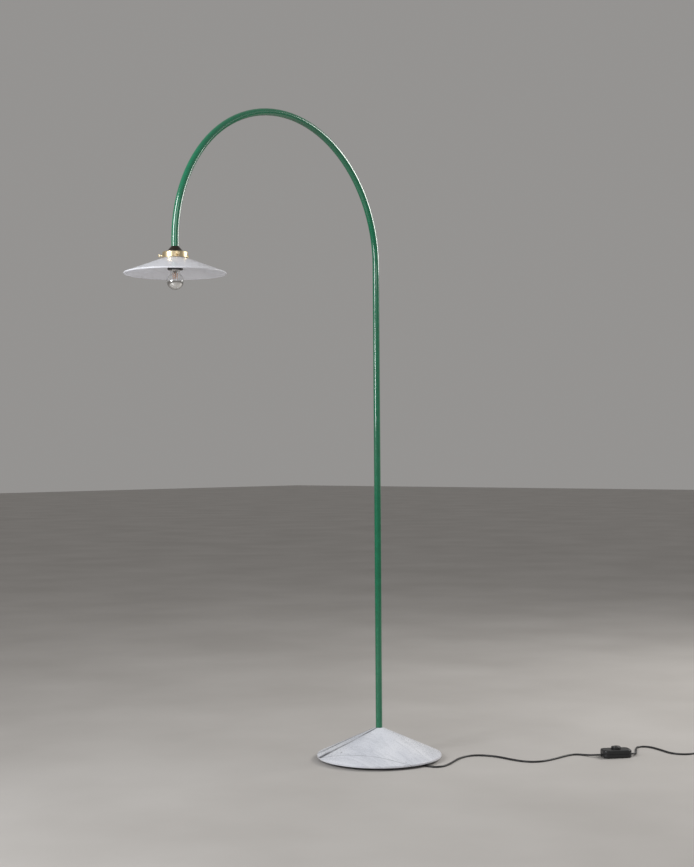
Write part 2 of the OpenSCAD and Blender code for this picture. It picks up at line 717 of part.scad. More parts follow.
module filaments() {
  color("#e0a060")
    at_head()
      for (a = [45:90:315]) rotate([0, 0, a]) {
        translate([4.2, 0, bulb_cap_z - 2 * stem_h]) rotate([0, 4, 0]) cylinder(r = 0.8, h = filament_l);
        translate([0, 0, bulb_cap_z - stem_h + 2]) rotate([0, 75, 0]) translate([0, 0, 2.6])
          cylinder(r = 0.25, h = 2.6);
      }
}

// ---- lead on the floor ----
module cord_to_switch() { color("#151515") swept_tube(smooth(route_to_switch, 2), cord_r); }
module cord_to_coil() { color("#151515") swept_tube(smooth(route_to_coil, 1), cord_r); }
module cord_tail() { color("#151515") swept_tube(smooth(route_to_plug, 1), cord_r); }
module cord_coil() {
  color("#151515")
    translate([coil_place[0], coil_place[1], 0])
      rotate_extrude() translate([coil_turn_r - coil_half, 0]) square([2 * coil_half, coil_h]);
}
module coil_tie() {
  color("#0c0c0c")
    translate([coil_place[0], coil_place[1], 0]) rotate([0, 0, tie_turn])
      translate([coil_turn_r, tie_w / 2, 0]) rotate([90, 0, 0])
        linear_extrude(tie_w)
          difference() {
            translate([-tie_half - tie_t, 0]) square([2 * (tie_half + tie_t), coil_h + tie_gap + tie_t]);
            translate([-tie_half, -1]) square([2 * tie_half, coil_h + tie_gap + 1]);
          }
}

// ---- switch ----
// Solid of the switch's upper case, d inside its outer face, from z0 up
module case_solid(d, z0) {
  slab = 0.1;
  levels = [  // height, how much shorter and narrower it is there, corner radius
    [z0, 0, case_corner - d], [case_shoulder - slab, 0, case_corner - d],
    [switch_h - d - 2, case_step, case_corner - d],
    [switch_h - d - slab, 2.4 * case_step, case_corner - d - 1]
  ];
  hull()
    for (v = levels) translate([0, 0, v[0]]) linear_extrude(slab)
      round_plate(switch_l - 2 * d - v[1], switch_w - 2 * d - v[1], v[2]);
}
// Holes for the lead at both ends of the case
module entry_holes() {
  translate([-switch_l, 0, entry_z]) rotate([0, 90, 0]) cylinder(r = cord_r + thread_gap, h = 2 * switch_l);
}
module switch_lower() {
  color("#161616")
    at_switch()
      difference() {
        translate([0, 0, foot_t]) linear_extrude(case_split - foot_t)
          round_plate(switch_l, switch_w, case_corner);
        translate([0, 0, foot_t + case_wall]) linear_extrude(case_split)
          round_plate(switch_l - 2 * case_wall, switch_w - 2 * case_wall, case_corner - case_wall);
        entry_holes();
        case_screw_places() translate([0, 0, foot_t - 1])
          cylinder(r = case_screw_r + thread_gap, h = case_wall + 2);
      }
}
module switch_upper() {
  color("#161616")
    at_switch()
      difference() {
        case_solid(0, case_split + 0.05);
        case_solid(case_wall, case_split - 1);
        cylinder(r = button_r + button_gap, h = 2 * switch_h);
        entry_holes();
      }
}
module switch_button() {
  top = switch_h + button_rise;
  color("#1b1b1b")
    at_switch()
      rotate_extrude()
        polygon(concat(
          [[plunger_bore, plunger_z], [plunger_r, plunger_z], [plunger_r, button_foot],
           [button_r + button_flange, button_foot],
           [button_r + button_flange, button_foot + flange_t], [button_r, button_foot + flange_t]],
          arc(button_r - 2, top - 2, 2, 0, 90, 6),
          [[button_r - 5, top - 0.6], [0, top - 0.8], [0, top - button_top_t],
           [plunger_bore, top - button_top_t]]));
}
module button_spring() {
  steps = 12 * spring_turns;
  wire = [for (i = [0:steps]) let (a = 360 * i * spring_turns / steps)
    [spring_r * cos(a), spring_r * sin(a), spring_z + spring_wire + spring_h * i / steps]];
  color("#b9bcc0") at_switch() swept_tube(wire, spring_wire, 6);
}
module switch_contacts() {
  color("#c7b48a")
    at_switch() {
      for (s = [-1, 1]) translate([s * 22 - 6, -8, strip_z]) cube([12, 16, contact_strip]);
      translate([-9, plunger_r + 0.5, strip_z]) cube([18, 5, contact_strip]);
    }
}
module switch_terminals() {
  color("#efece4")
    at_switch()
      difference() {
        translate([-30, -15, spring_z]) cube([60, 30, terminal_t]);
        translate([0, 0, foot_t]) cylinder(r = spring_r + 1.2, h = case_split);
      }
}
// Places its children at the case's two screws
module case_screw_places() {
  for (s = [-1, 1]) translate([s * (switch_l / 2 - 9), -s * (switch_w / 2 - 9), 0]) children();
}
module switch_screws() {
  color("#b9bcc0")
    at_switch() case_screw_places() {
      translate([0, 0, foot_t - 1]) cylinder(r = case_screw_r + 1, h = 0.9);
      translate([0, 0, foot_t - 0.5]) cylinder(r = case_screw_r, h = case_split);
    }
}
module switch_feet() {
  color("#2b2b2b")
    at_switch() for (x = [-1, 1], y = [-1, 1])
      translate([x * (switch_l / 2 - case_corner), y * (switch_w / 2 - case_corner - 1), 0])
        cylinder(r = 4, h = foot_t);
}

// ---- plug ----
module plug_body() {
  color("#161616")
    at_plug()
      difference() {
        translate([-plug_l / 2, 0, 0]) rotate([90, 0, 90]) linear_extrude(plug_l)
          round_plate(plug_w, plug_h, plug_h / 2 - 0.5);
        for (s = [-1, 1]) translate([plug_l / 2 - pin_root, s * pin_space / 2, 0]) rotate([0, 90, 0])
          cylinder(r = pin_root_r, h = pin_root + 1);
      }
}
module plug_relief() {
  color("#161616")
    at_plug() translate([-plug_l / 2 - plug_relief_l, 0, 0]) rotate([0, 90, 0])
      cylinder(r1 = cord_r + 0.6, r2 = cord_r + 2.2, h = plug_relief_l);
}
module plug_pins() {
  color("#c9c6bd")
    at_plug() for (s = [-1, 1]) translate([plug_l / 2 - pin_root, s * pin_space / 2, 0]) rotate([0, 90, 0]) {
      cylinder(r = pin_root_r, h = pin_root + pin_neck);
      translate([0, 0, pin_root + pin_neck]) cylinder(r = pin_r, h = pin_l - pin_neck - 1);
      translate([0, 0, pin_root + pin_l - 1]) cylinder(r1 = pin_r, r2 = pin_r - 0.8, h = 1);
    }
}

marble_base();
base_plate();
plate_screws();
marble_inserts();
floor_pad();
pole_spigot();
spigot_washer();
spigot_nut();
thrust_washer();
lead_clamp();
clamp_screws();
base_lead();
base_relief();
stem_tube();
lower_bush();
upper_bush();
swivel_screw();
stem_lead();
stem_insert();
entry_nipple();
holder_cap();
lock_nut();
gallery_ring();
gallery_screw_1();
gallery_screw_2();
gallery_screw_3();
glass_shade();
holder_body();
holder_skirt();
holder_insert();
screw_shell();
centre_contact();
terminal_screws();
bulb_cap();
bulb_insulator();
bulb_contact();
bulb_glass();
crown_mirror();
bulb_stem();
filaments();
cord_to_switch();
switch_lower();
switch_upper();
switch_button();
button_spring();
switch_contacts();
switch_terminals();
switch_screws();
switch_feet();
cord_to_coil();
cord_coil();
cord_tail();
coil_tie();
plug_body();
plug_relief();
plug_pins();
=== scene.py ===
# %% [markdown]
# # An arc floor lamp, finished in Blender
# The lamp's mechanics come as a fixed frame: every CAD part is already in place, in metres, with its
# joints. This lesson gives those parts their finishes and makes the shapes that a CAD solid leaves
# plain: the lead, the glass, the bulb, the switch and the small turned metal parts. All new shapes are
# worked out as arrays of points, so a size can be changed in one place and the shape follows.

# %% Load the frame
import json

import bpy
import numpy as np
from mathutils import Matrix, Vector


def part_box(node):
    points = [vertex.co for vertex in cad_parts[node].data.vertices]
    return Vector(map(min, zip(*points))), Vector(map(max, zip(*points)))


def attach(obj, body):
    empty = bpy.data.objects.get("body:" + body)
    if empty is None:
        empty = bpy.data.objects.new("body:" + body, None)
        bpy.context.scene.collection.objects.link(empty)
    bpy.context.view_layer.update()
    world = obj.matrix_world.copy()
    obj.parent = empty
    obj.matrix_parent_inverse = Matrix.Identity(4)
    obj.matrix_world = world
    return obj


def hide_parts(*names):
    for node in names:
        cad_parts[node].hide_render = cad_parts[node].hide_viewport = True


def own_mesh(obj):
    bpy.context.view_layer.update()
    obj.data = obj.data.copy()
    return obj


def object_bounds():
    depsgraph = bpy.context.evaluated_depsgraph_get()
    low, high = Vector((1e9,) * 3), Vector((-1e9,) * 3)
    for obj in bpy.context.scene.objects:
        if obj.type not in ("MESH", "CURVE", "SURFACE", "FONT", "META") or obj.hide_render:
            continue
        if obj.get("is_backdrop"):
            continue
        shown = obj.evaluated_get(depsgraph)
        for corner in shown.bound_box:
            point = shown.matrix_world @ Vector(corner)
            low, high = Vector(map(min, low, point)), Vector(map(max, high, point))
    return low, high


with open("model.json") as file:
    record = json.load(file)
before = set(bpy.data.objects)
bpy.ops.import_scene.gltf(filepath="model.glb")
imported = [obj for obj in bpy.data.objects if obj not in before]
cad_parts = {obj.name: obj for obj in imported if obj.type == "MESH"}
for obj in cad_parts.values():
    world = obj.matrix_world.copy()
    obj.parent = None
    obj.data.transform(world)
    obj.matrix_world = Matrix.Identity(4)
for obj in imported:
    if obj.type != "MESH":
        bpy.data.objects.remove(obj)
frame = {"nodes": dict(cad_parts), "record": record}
cad_box = [list(corner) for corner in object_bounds()]
MM = 0.001

# %% [markdown]
# ## Sizes read from the frame
# Each size below is measured on a CAD part, so a finished piece can never drift away from the part
# that it stands for. `span` gives the lowest and highest corner of a node as plain arrays. Shapes are
# worked out in millimetres, as on a workshop drawing, and turned into metres when they become a piece.

# %% Measure the parts
def span(node):
    """Lowest and highest corner of a CAD node, as two arrays of three numbers, in millimetres."""
    low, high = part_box(node)
    return np.array(low) / MM, np.array(high) / MM


tube_low, tube_high = span("stem_tube")
tube_r = tube_high[1]
arch_r = (tube_high[0] - tube_low[0] - 2 * tube_r) / 2
head = (-2 * arch_r, 0.0)
print(f"tube {2 * tube_r:.0f} mm, arch radius {arch_r:.0f} mm, head at x = {head[0]:.0f} mm")

# %% [markdown]
# ## The camera
# The camera stands 4.5 m away and lower than the lamp's middle, so it looks slightly up into the shade
# and down on the base. It is placed by its bearing round the pole and its height, and then turned a
# little: a real camera is never quite level. A long lens keeps the pole straight.

# %% Place the camera
camera_bearing = np.radians(-48.35)
camera_distance = 4.494
camera_height = 0.905
camera_yaw, camera_pitch, camera_roll = np.radians([-1.147, 0.860, -0.392])
camera_lens = 62.19


def camera_axes(bearing, yaw, pitch, roll):
    """Right, up and backward directions of a camera that looks at the pole from a bearing, then turns
    by yaw about the vertical and by pitch about its own right side, then rolls about its own axis."""
    back = np.array([np.sin(bearing), -np.cos(bearing), 0.0])
    side = np.array([np.cos(bearing), np.sin(bearing), 0.0])
    up = np.array([0.0, 0.0, 1.0])
    look = np.cos(pitch) * (side * np.sin(yaw) - back * np.cos(yaw)) + up * np.sin(pitch)
    right = np.cross(look, up) / np.linalg.norm(np.cross(look, up))
    above = np.cross(right, look)
    turned = right * np.cos(roll) + above * np.sin(roll)
    return turned, above * np.cos(roll) - right * np.sin(roll), -look


axes = camera_axes(camera_bearing, camera_yaw, camera_pitch, camera_roll)
spot = np.array([np.sin(camera_bearing), -np.cos(camera_bearing), 0.0]) * camera_distance
spot[2] = camera_height
camera_data = bpy.data.cameras.new("camera")
camera_data.lens = camera_lens
camera = bpy.data.objects.new("camera", camera_data)
bpy.context.scene.collection.objects.link(camera)
camera.matrix_world = Matrix.Translation(Vector(spot)) @ Matrix(np.column_stack(axes)).to_4x4()
bpy.context.scene.camera = camera
print("camera at", np.round(spot, 3), "lens", camera_lens)

# %% [markdown]
# ## Three ways to make a surface
# Nearly everything on a lamp is turned on a lathe or drawn along a line. `grid_faces` joins a grid of
# points with quads, `lathe` turns a profile about a vertical line, and `sweep` carries a circle along
# a path. Each works on whole arrays, which is faster and shorter than a loop over points.

# %% Grid helpers
def grid_faces(rows, columns, loop_rows=False):
    """Quads (i, j), (i, j+1), (i+1, j+1), (i+1, j) of a grid whose last column meets its first, and
    whose last row meets its first when loop_rows is true."""
    i = np.arange(rows if loop_rows else rows - 1)[:, None]
    j = np.arange(columns)[None, :]
    corner = lambda a, b: (a % rows) * columns + (b % columns) + 0 * (i + j)
    quads = [corner(i, j), corner(i, j + 1), corner(i + 1, j + 1), corner(i + 1, j)]
    return np.stack(quads, axis=-1).reshape(-1, 4)


def close_ends(points, rows, columns, first, last):
    """Adds a pole before the first row and one after the last row, each joined by a fan of triangles.
    Returns all the points and the faces of the closed surface."""
    ring = np.arange(columns)
    following = (ring + 1) % columns
    low_pole, high_pole = rows * columns, rows * columns + 1
    top = (rows - 1) * columns
    fans = np.vstack([
        np.stack([np.full(columns, low_pole), following, ring], axis=-1),
        np.stack([top + ring, top + following, np.full(columns, high_pole)], axis=-1),
    ])
    return np.vstack([points, first, last]), grid_faces(rows, columns).tolist() + fans.tolist()


def held(outline, closed, gap=0.3):
    """The outline with two more points on each long side, `gap` from its ends, so that smooth shading
    stays on the rounded edge and the side itself is flat."""
    out = []
    for k, here in enumerate(outline):
        out.append(here)
        step = outline[(k + 1) % len(outline)] - here
        length = np.linalg.norm(step)
        if length > 5 * gap and (closed or k + 1 < len(outline)):
            out += [here + step * gap / length, here + step * (1 - gap / length)]
    return np.array(out)


def lathe(profile, centre=(0.0, 0.0), steps=160, ribs=None):
    """Surface of revolution: at angle t the profile's point (r, z) is (cx + r cos t, cy + r sin t, z).
    A profile that begins and ends on the axis closes in poles; any other closes on itself. `ribs` gives
    how far the surface sinks in at each (r, z, t)."""
    profile = np.asarray(profile, float)
    on_axis = profile[0, 0] < 1e-9
    profile = held(profile, closed=not on_axis)
    rows = profile[1:-1] if on_axis else profile
    t = np.linspace(0, 2 * np.pi, steps, endpoint=False)
    r = np.broadcast_to(rows[:, :1], (len(rows), steps))
    if ribs is not None:
        r = r - ribs(r, rows[:, 1:], t)
    x = centre[0] + r * np.cos(t)
    y = centre[1] + r * np.sin(t)
    points = np.stack([x, y, np.broadcast_to(rows[:, 1:], x.shape)], axis=-1).reshape(-1, 3)
    if not on_axis:
        return points, grid_faces(len(rows), steps, loop_rows=True).tolist()
    ends = [[centre[0], centre[1], profile[k, 1]] for k in (0, -1)]
    return close_ends(points, len(rows), steps, ends[0], ends[1])


def sweep(path, radius, sides=16):
    """Closed round rod along a path: at angle a the point is c + r (cos a side + sin a lift), where
    side = t x up and lift = t x side for the path's direction t, and up is the vertical."""
    path = np.asarray(path, float)
    t = np.gradient(path, axis=0)
    t /= np.linalg.norm(t, axis=1)[:, None]
    side = np.cross(t, (0.0, 0.0, 1.0))
    side /= np.linalg.norm(side, axis=1)[:, None]
    lift = np.cross(t, side)
    a = np.linspace(0, 2 * np.pi, sides, endpoint=False)[None, :, None]
    ring = np.cos(a) * side[:, None, :] + np.sin(a) * lift[:, None, :]
    points = (path[:, None, :] + radius * ring).reshape(-1, 3)
    return close_ends(points, len(path), sides, path[0], path[-1])


def placed(surface, origin, axis):
    """A surface made about the +Z axis, turned to lie about another axis and moved to its origin."""
    turn = np.array(Vector((0, 0, 1)).rotation_difference(Vector(axis)).to_matrix())
    return surface[0] @ turn.T + np.array(origin), surface[1]


def arc(x, y, r, begins, ends, steps):
    """Points of a circle about (x, y) from one angle to another, in degrees."""
    a = np.radians(np.linspace(begins, ends, steps + 1))
    return np.column_stack([x + r * np.cos(a), y + r * np.sin(a)])


def rounded(corners, steps=5):
    """Outline through corners (x, y, radius). A corner with a radius becomes an arc that touches both
    sides at radius / tan(half the corner's angle)."""
    corners = np.asarray(corners, float)
    out = []
    for k, (x, y, radius) in enumerate(corners):
        here = np.array([x, y])
        if radius == 0:
            out.append(here)
            continue
        before = corners[k - 1, :2] - here
        after = corners[(k + 1) % len(corners), :2] - here
        before /= np.linalg.norm(before)
        after /= np.linalg.norm(after)
        half = np.arccos(np.clip(before @ after, -1, 1)) / 2
        reach = radius / np.tan(half)
        middle = here + (before + after) / np.linalg.norm(before + after) * radius / np.sin(half)
        a, b = here + before * reach - middle, here + after * reach - middle
        turn = np.pi - 2 * half
        s = np.linspace(0, 1, steps + 1)[:, None]
        out += list(middle + (np.sin((1 - s) * turn) * a + np.sin(s * turn) * b) / np.sin(turn))
    return np.array(out)


def smooth_line(points, spacing):
    """Points a fixed distance apart on the natural cubic spline through the given ones. The second
    derivatives m solve h[i-1] m[i-1] + 2 (h[i-1] + h[i]) m[i] + h[i] m[i+1] = 6 (change of slope)."""
    points = np.asarray(points, float)
    h = np.linalg.norm(np.diff(points, axis=0), axis=1)
    slope = np.diff(points, axis=0) / h[:, None]
    n = len(points)
    system = np.eye(n)
    inner = np.arange(1, n - 1)
    system[inner, inner - 1] = h[:-1]
    system[inner, inner] = 2 * (h[:-1] + h[1:])
    system[inner, inner + 1] = h[1:]
    change = np.zeros_like(points)
    change[1:-1] = 6 * np.diff(slope, axis=0)
    m = np.linalg.solve(system, change)
    knots = np.concatenate([[0], np.cumsum(h)])
    u = np.linspace(0, knots[-1], 12 * n)
    k = np.clip(np.searchsorted(knots, u, side="right") - 1, 0, n - 2)
    s, w = (u - knots[k])[:, None], h[k][:, None]
    bend = m[k] / 2 * s**2 + (m[k + 1] - m[k]) / (6 * w) * s**3
    line = points[k] + (slope[k] - w * (2 * m[k] + m[k + 1]) / 6) * s + bend
    return spaced(line, spacing)


def spaced(line, spacing):
    """The same line with its points evenly spaced, about the given distance apart."""
    run = np.concatenate([[0], np.cumsum(np.linalg.norm(np.diff(line, axis=0), axis=1))])
    at = np.linspace(0, run[-1], int(np.ceil(run[-1] / spacing)) + 1)
    return np.stack([np.interp(at, run, line[:, k]) for k in range(3)], axis=-1)


def line_length(line):
    """Length of a line of points: the sum of the distances between neighbours."""
    return float(np.linalg.norm(np.diff(line, axis=0), axis=1).sum())


# %% [markdown]
# ## Adding a piece
# `add_piece` turns points and faces into an object with one finish, lets it ride on a CAD body, and
# hides the CAD nodes that it stands for. `joined` puts several closed surfaces into one piece.

# %% Piece helper
def joined(*parts):
    """Several (points, faces) surfaces as one: the faces of each are shifted past the earlier points."""
    points, faces, start = [], [], 0
    for some_points, some_faces in parts:
        points.append(some_points)
        faces += [[corner + start for corner in face] for face in some_faces]
        start += len(some_points)
    return np.vstack(points), faces


def add_piece(name, surface, finish, body, stands_for):
    """A smooth-shaded piece from (points in millimetres, faces), riding on a CAD body."""
    mesh = bpy.data.meshes.new(name)
    mesh.from_pydata((surface[0] * MM).tolist(), [], surface[1])
    mesh.shade_smooth()
    mesh.materials.append(finish)
    piece = bpy.data.objects.new(name, mesh)
    bpy.context.scene.collection.objects.link(piece)
    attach(piece, body)
    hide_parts(*stands_for)
    print(f"{name}: {len(mesh.vertices)} points, {len(mesh.polygons)} faces")
    return piece


# %% [markdown]
# ## Building a finish
# A material in Blender is a small network. `Finish` keeps the writing short: `node` adds a node, sets
# its plain values and links whatever is given as a socket. Every pattern reads Object coordinates, in
# metres, so a grain of 2 mm is a scale of 500 on any piece.

# %% Material helper
class Finish:
    """A material under construction, with its principled shader and its object coordinates."""

    def __init__(self, name, **shader):
        self.material = bpy.data.materials.new(name)
        self.material.use_nodes = True
        self.tree = self.material.node_tree
        self.tree.nodes.clear()
        self.output = self.tree.nodes.new("ShaderNodeOutputMaterial")
        self.shader = self.node("BsdfPrincipled", shader)
        self.link(self.shader.outputs[0], self.output.inputs["Surface"])
        self.place = self.node("TexCoord", {}).outputs["Object"]

    def link(self, source, target):
        """Joins an output socket to an input socket."""
        self.tree.links.new(source, target)

    def node(self, kind, inputs, **settings):
        """A new node. Inputs are plain values or output sockets, by the input's name or number."""
        made = self.tree.nodes.new("ShaderNode" + kind)
        for key, value in settings.items():
            setattr(made, key, value)
        for key, value in inputs.items():
            target = made.inputs[key if isinstance(key, int) else key.replace("_", " ")]
            if isinstance(value, bpy.types.NodeSocket):
                self.link(value, target)
            else:
                target.default_value = value
        return made

    def scaled(self, scale, turn=(0.0, 0.0, 0.0)):
        """Object coordinates turned and scaled, as a vector socket."""
        inputs = {"Vector": self.place, "Rotation": turn, "Scale": scale}
        return self.node("Mapping", inputs).outputs[0]

    def noise(self, scale, detail=4.0, roughness=0.5, vector=None, distortion=0.0):
        """Fractal noise with about `scale` lumps to a metre, between 0 and 1."""
        inputs = {"Vector": vector or self.place, "Scale": scale, "Detail": detail}
        inputs.update({"Roughness": roughness, "Distortion": distortion})
        return self.node("TexNoise", inputs).outputs["Fac"]

    def ramp(self, value, *stops):
        """A colour ramp through (position, grey or colour) stops."""
        made = self.node("ValToRGB", {"Fac": value})
        cells = made.color_ramp.elements
        for k, (position, tone) in enumerate(stops):
            cell = cells[k] if k < 2 else cells.new(position)
            cell.position = position
            cell.color = (*tone, 1.0) if isinstance(tone, tuple) else (tone, tone, tone, 1.0)
        return made.outputs["Color"]

    def sum(self, kind, a, b, third=None):
        """One arithmetic step on two or three values or sockets, such as ADD or MULTIPLY."""
        inputs = {0: a, 1: b} if third is None else {0: a, 1: b, 2: third}
        return self.node("Math", inputs, operation=kind).outputs[0]

    def blend(self, factor, a, b):
        """Colour a turned into colour b by the factor."""
        made = self.node("Mix", {}, data_type="RGBA", blend_type="MIX")
        for key, value in ((0, factor), (6, a), (7, b)):
            if isinstance(value, bpy.types.NodeSocket):
                self.link(value, made.inputs[key])
            else:
                made.inputs[key].default_value = value if key == 0 else (*value, 1.0)
        return made.outputs[2]

    def bump(self, height, distance):
        """Bumps of the given height in metres, joined to the shader's normal."""
        inputs = {"Height": height, "Distance": distance, "Strength": 1.0}
        self.link(self.node("Bump", inputs).outputs[0], self.shader.inputs["Normal"])

    def colour(self, socket):
        """Joins a colour to the shader."""
        self.link(socket, self.shader.inputs["Base Color"])

    def roughness(self, socket):
        """Joins a roughness to the shader."""
        self.link(socket, self.shader.inputs["Roughness"])


finishes = {}

# %% [markdown]
# ## Marble
# The stone is a pale blue-grey white. Its veins lie in planes that cut right through the block, so each
# one is written as a plane: points near it, after a little noise has pushed them about, are darker.
# One strong dark vein crosses near the rim, a thin one runs down the front, and a family of soft streaks
# follows the bedding. Because the pattern is solid, the veins run on over the rim as in a real block.

# %% Marble
marble = Finish("marble", Roughness=0.28, IOR=1.5)
marble.shader.inputs["Subsurface Weight"].default_value = 0.08
marble.shader.inputs["Subsurface Radius"].default_value = (0.012, 0.012, 0.012)
marble.shader.inputs["Subsurface Scale"].default_value = 1.0
waviness = marble.node("TexNoise", {"Vector": marble.place, "Scale": 14.0, "Detail": 5.0}).outputs["Color"]
shaken = marble.node("VectorMath", {0: waviness, 1: (0.5, 0.5, 0.5)}, operation="SUBTRACT").outputs[0]
shaken = marble.node("VectorMath", {0: shaken, "Scale": 0.012}, operation="SCALE").outputs[0]
pushed = marble.node("VectorMath", {0: marble.place, 1: shaken}, operation="ADD").outputs[0]


def vein(normal, offset, width, place):
    """1 on the plane p . n = offset and 0 at a distance of `width` from it, in metres."""
    along = marble.node("VectorMath", {0: place, 1: normal}, operation="DOT_PRODUCT").outputs["Value"]
    away = marble.sum("ABSOLUTE", marble.sum("SUBTRACT", along, offset), 0.0)
    near = marble.sum("SUBTRACT", 1.0, marble.sum("DIVIDE", away, width))
    return marble.sum("SMOOTH_MAX", near, 0.0, 0.05)


patchy = marble.noise(22.0, detail=3.0)
nudged = marble.node("VectorMath", {0: shaken, "Scale": 0.12}, operation="SCALE").outputs[0]
nudged = marble.node("VectorMath", {0: marble.place, 1: nudged}, operation="ADD").outputs[0]
fading = marble.ramp(marble.noise(9.0, detail=4.0), (0.38, 0.25), (0.58, 0.95))
strong = marble.sum("MULTIPLY", vein((-0.317, 0.264, 0.911), 0.0885, 0.0009, nudged), fading)
thin = marble.sum("MULTIPLY", vein((0.70, 0.257, 0.667), -0.0818, 0.0014, pushed), patchy)
bedding = marble.scaled((42.0, 6.0, 9.0), turn=(0.0, 0.0, np.radians(7.0)))
streaks = marble.noise(1.0, detail=7.0, roughness=0.58, vector=bedding, distortion=0.9)
clouds = marble.noise(7.0, detail=5.0, vector=pushed)
stone = marble.ramp(clouds, (0.30, (0.58, 0.60, 0.66)), (0.62, (0.74, 0.755, 0.80)))
soft = marble.ramp(streaks, (0.50, 0.0), (0.59, 0.34), (0.64, 0.05), (1.0, 0.0))
stone = marble.blend(soft, stone, (0.40, 0.42, 0.47))
dark = marble.sum("MULTIPLY", marble.sum("ADD", strong, thin), 1.5)
stone = marble.blend(marble.node("Clamp", {"Value": dark}).outputs[0], stone, (0.085, 0.09, 0.105))
cells = marble.node("TexVoronoi", {"Vector": marble.place, "Scale": 17.0, "Randomness": 1.0})
specks = marble.ramp(cells.outputs["Distance"], (0.0, 0.9), (0.075, 0.0))
stone = marble.blend(specks, stone, (0.13, 0.13, 0.15))
marble.colour(stone)
marble.roughness(marble.ramp(marble.noise(260.0), (0.3, 0.24), (0.7, 0.34)))
finishes["marble"] = marble.material
print("marble: two veins, bedding streaks and specks")

# %% [markdown]
# ## Lacquer, brass and the other metals
# The tube is sprayed with a deep emerald lacquer under a clear coat. A sprayed coat is never quite
# flat: a faint orange peel, about 2 mm across, softens the long reflections. The brass is satin, so its
# bump is stretched round the lathe's axis. Dark bronze is a brown paint on the turned cap.

# %% Metals
lacquer = Finish("green_lacquer", Roughness=0.20, IOR=1.5, Coat_Weight=1.0, Coat_Roughness=0.045)
spray = lacquer.noise(60.0)
lacquer.colour(lacquer.ramp(spray, (0.35, (0.001, 0.135, 0.062)), (0.70, (0.002, 0.160, 0.074))))
lacquer.bump(lacquer.noise(420.0, detail=1.0), 0.00002)
finishes["green_lacquer"] = lacquer.material

brass = Finish("brass", Metallic=1.0, Roughness=0.27)
brass.colour(brass.ramp(brass.noise(90.0), (0.3, (0.70, 0.56, 0.34)), (0.7, (0.80, 0.66, 0.43))))
turning = brass.scaled((40.0, 40.0, 2600.0))
brass.roughness(brass.ramp(brass.noise(1.0, vector=turning), (0.3, 0.28), (0.7, 0.42)))
brass.bump(brass.noise(1.0, detail=2.0, vector=turning), 0.00002)
finishes["brass"] = brass.material

bronze = Finish("dark_bronze", Metallic=0.5, Roughness=0.34, Coat_Weight=0.25, Coat_Roughness=0.25)
bronze.colour(bronze.ramp(bronze.noise(120.0), (0.3, (0.018, 0.011, 0.008)), (0.7, (0.032, 0.019, 0.013))))
bronze.bump(bronze.noise(700.0, detail=2.0), 0.00002)
finishes["dark_bronze"] = bronze.material

steel = Finish("steel", Metallic=1.0, Base_Color=(0.50, 0.51, 0.53, 1.0))
steel.roughness(steel.ramp(steel.noise(150.0), (0.3, 0.30), (0.7, 0.48)))
finishes["steel"] = steel.material

plated = Finish("plated", Metallic=1.0, Base_Color=(0.72, 0.70, 0.66, 1.0))
plated.roughness(plated.ramp(plated.noise(300.0), (0.3, 0.12), (0.7, 0.22)))
finishes["plated"] = plated.material
print("metals:", ", ".join(sorted(finishes)))

# %% [markdown]
# ## Glass and the bulb
# Opal glass lets light through but scatters it, so the finish mixes a glossy white with a little less
# of a translucent one: the inside glows with whatever light falls on the outside. The crown's mirror is on
# the bulb's lower half, and its reflection hides the lamp from below. The filaments are LED sticks:
# a warm phosphor over a ceramic strip, with a faint painted glow although the bulb is not lit.

# %% Glass
opal = Finish("opal_glass", Base_Color=(0.87, 0.88, 0.92, 1.0), Roughness=0.12, IOR=1.5)
opal.roughness(opal.ramp(opal.noise(35.0), (0.3, 0.10), (0.7, 0.16)))
glow = opal.node("BsdfTranslucent", {"Color": (0.92, 0.92, 0.95, 1.0)}).outputs[0]
milky = opal.node("MixShader", {"Fac": 0.42, 1: opal.shader.outputs[0], 2: glow}).outputs[0]
opal.link(milky, opal.output.inputs["Surface"])
finishes["opal_glass"] = opal.material

clear = Finish("clear_glass", Base_Color=(0.97, 0.97, 0.96, 1.0), Roughness=0.0, IOR=1.45)
clear.shader.inputs["Transmission Weight"].default_value = 1.0
finishes["clear_glass"] = clear.material

mirror = Finish("silver_mirror", Metallic=1.0, Base_Color=(0.90, 0.90, 0.91, 1.0), Roughness=0.03)
finishes["silver_mirror"] = mirror.material

filament = Finish("filament", Roughness=0.5, Base_Color=(0.86, 0.42, 0.20, 1.0))
filament.colour(filament.ramp(filament.noise(900.0), (0.3, (0.80, 0.36, 0.16)), (0.7, (0.90, 0.50, 0.26))))
# Painted glow: a weak warm emission on the sticks, though the bulb is not lit.
filament.shader.inputs["Emission Color"].default_value = (1.0, 0.45, 0.2, 1.0)
filament.shader.inputs["Emission Strength"].default_value = 0.12
finishes["filament"] = filament.material
print("glass: opal, clear, mirror and filament")

# %% [markdown]
# ## Plastics, rubber and felt
# Black mouldings differ mostly in how rough they are. A fine spark-eroded grain makes the switch look
# moulded, the lead's sheath is smoother and greyer, and felt is rough all over.

